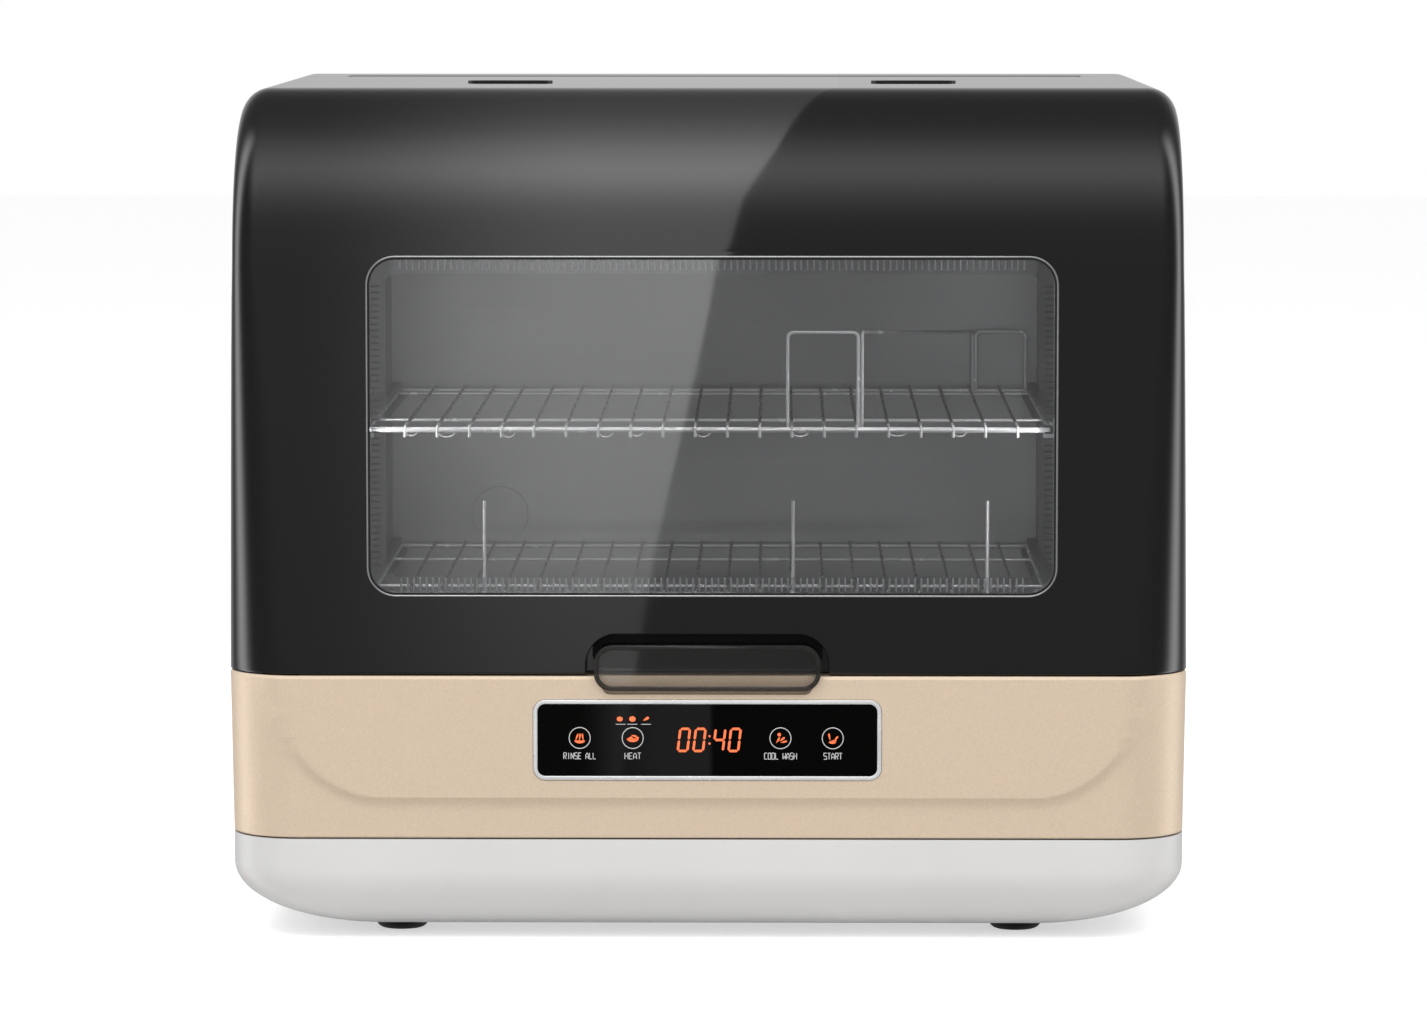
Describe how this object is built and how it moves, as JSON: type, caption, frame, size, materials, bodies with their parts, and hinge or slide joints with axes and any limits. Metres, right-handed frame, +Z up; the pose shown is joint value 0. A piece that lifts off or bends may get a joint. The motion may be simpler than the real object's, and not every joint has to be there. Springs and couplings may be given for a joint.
{
  "type": "countertop dishwasher",
  "caption": "Compact countertop dishwasher with a lift-up windowed lid over its front and top, two wire racks, a spray arm and a touch control panel.",
  "frame": {"origin": "on the worktop, under the centre of the machine's bounding box", "axes": "+X to the machine's right-hand side as seen from the front, +Y to the rear, +Z up; the front faces -Y"},
  "size_m": [0.472, 0.424, 0.4174],
  "materials": {
    "base_grey": "fine satin",
    "foot_rubber": "matt",
    "champagne": "satin",
    "dark_panel": "glossy",
    "rear_plastic": "fine satin",
    "lid_black": "glossy",
    "tub_grey": "brushed",
    "gasket_rubber": "matt",
    "runner_plastic": "fine satin",
    "inner_plastic": "fine satin",
    "filter_steel": "brushed",
    "filter_plastic": "fine satin",
    "arm_plastic": "fine satin",
    "heater_steel": "brushed",
    "bezel_silver": "polished",
    "control_black": "glossy",
    "circuit_green": "fine satin",
    "pump_plastic": "fine satin",
    "white_plastic": "fine satin",
    "motor_steel": "satin",
    "pipe_plastic": "fine satin",
    "chamber_plastic": "fine satin",
    "bracket_steel": "satin",
    "magnet_ferrite": "matt",
    "screw_steel": "brushed",
    "liner_plastic": "fine satin",
    "window_glass": "smoked, polished",
    "trim_silver": "polished",
    "seal_grey": "matt",
    "handle_smoke": "glossy",
    "vent_black": "fine satin",
    "rack_wire": "polished"
  },
  "bodies": {
    "cabinet": {"base_tray": "base_grey", "feet": "foot_rubber", "front_fascia": "champagne", "left_side_panel": "dark_panel", "right_side_panel": "dark_panel", "rear_panel": "rear_plastic", "rear_top_cover": "lid_black", "tub": "tub_grey", "tub_gasket": "gasket_rubber", "upper_runners": "runner_plastic", "lower_runners": "runner_plastic", "sump": "inner_plastic", "filter_plate": "filter_steel", "spindle": "inner_plastic", "heating_element": "heater_steel", "control_bezel": "bezel_silver", "control_glass": "control_black", "display_board": "circuit_green", "main_board": "circuit_green", "wash_pump": "pump_plastic", "wash_motor": "motor_steel", "feed_pipe": "pipe_plastic", "drain_pump": "pump_plastic", "drain_outlet": "pipe_plastic", "inlet_valve": "white_plastic", "fill_chamber": "chamber_plastic", "fan_housing": "pump_plastic", "duct_heater": "heater_steel", "power_inlet": "rear_plastic", "float_guide": "pipe_plastic", "hinge_brackets": "bracket_steel", "hinge_dampers": "inner_plastic", "catch_magnets": "magnet_ferrite", "lid_sensor": "inner_plastic", "rear_screws": "screw_steel"},
    "lid": {"lid_shell": "lid_black", "lid_liner": "liner_plastic", "window_pane": "window_glass", "window_trim": "trim_silver", "window_seal": "seal_grey", "lid_handle": "handle_smoke", "steam_vents": "vent_black", "hinge_barrel": "lid_black", "hinge_pins": "screw_steel", "lid_strikers": "screw_steel"},
    "upper_rack": {"upper_rack_rim": "rack_wire", "upper_rack_floor": "rack_wire", "upper_rack_dividers": "rack_wire"},
    "lower_rack": {"lower_rack_rim": "rack_wire", "lower_rack_floor": "rack_wire", "lower_rack_tines": "rack_wire"},
    "spray_arm": {"spray_arm": "arm_plastic"},
    "wash_impeller": {"wash_impeller": "white_plastic"},
    "drain_impeller": {"drain_impeller": "white_plastic"},
    "fan_wheel": {"fan_wheel": "inner_plastic"},
    "filter_cup": {"filter_cup": "filter_plastic"},
    "leak_float": {"leak_float": "white_plastic"}
  },
  "joints": [
    {"name": "lid_hinge", "type": "hinge", "parent": "cabinet", "child": "lid", "pos_m": [0, 0.124, 0.4046], "axis": [-1, 0, 0], "range_deg": [0, 75]},
    {"name": "upper_rack_slide", "type": "slide", "parent": "cabinet", "child": "upper_rack", "axis": [0, -1, 0], "range_m": [0, 0.181]},
    {"name": "lower_rack_slide", "type": "slide", "parent": "cabinet", "child": "lower_rack", "axis": [0, -1, 0], "range_m": [0, 0.181]},
    {"name": "spray_arm_spin", "type": "hinge", "parent": "cabinet", "child": "spray_arm", "pos_m": [0, -0.0351, 0.14], "axis": [0, 0, 1], "continuous": true},
    {"name": "wash_impeller_spin", "type": "hinge", "parent": "cabinet", "child": "wash_impeller", "pos_m": [0.1, -0.0351, 0.066], "axis": [1, 0, 0], "continuous": true},
    {"name": "drain_impeller_spin", "type": "hinge", "parent": "cabinet", "child": "drain_impeller", "pos_m": [-0.08, -0.0351, 0.062], "axis": [1, 0, 0], "continuous": true},
    {"name": "fan_spin", "type": "hinge", "parent": "cabinet", "child": "fan_wheel", "pos_m": [-0.115, 0.14, 0.27], "axis": [0, 1, 0], "continuous": true},
    {"name": "filter_twist", "type": "hinge", "parent": "cabinet", "child": "filter_cup", "pos_m": [0, -0.0731, 0.115], "axis": [0, 0, 1], "range_deg": [0, 40]},
    {"name": "float_slide", "type": "slide", "parent": "cabinet", "child": "leak_float", "axis": [0, 0, 1], "range_m": [0, 0.01]}
  ],
  "couplings": [
    {"joint": "upper_rack_slide", "follows": "lid_hinge", "m_per_rad": 0.1375},
    {"joint": "lower_rack_slide", "follows": "lid_hinge", "m_per_rad": 0.1375}
  ]
}
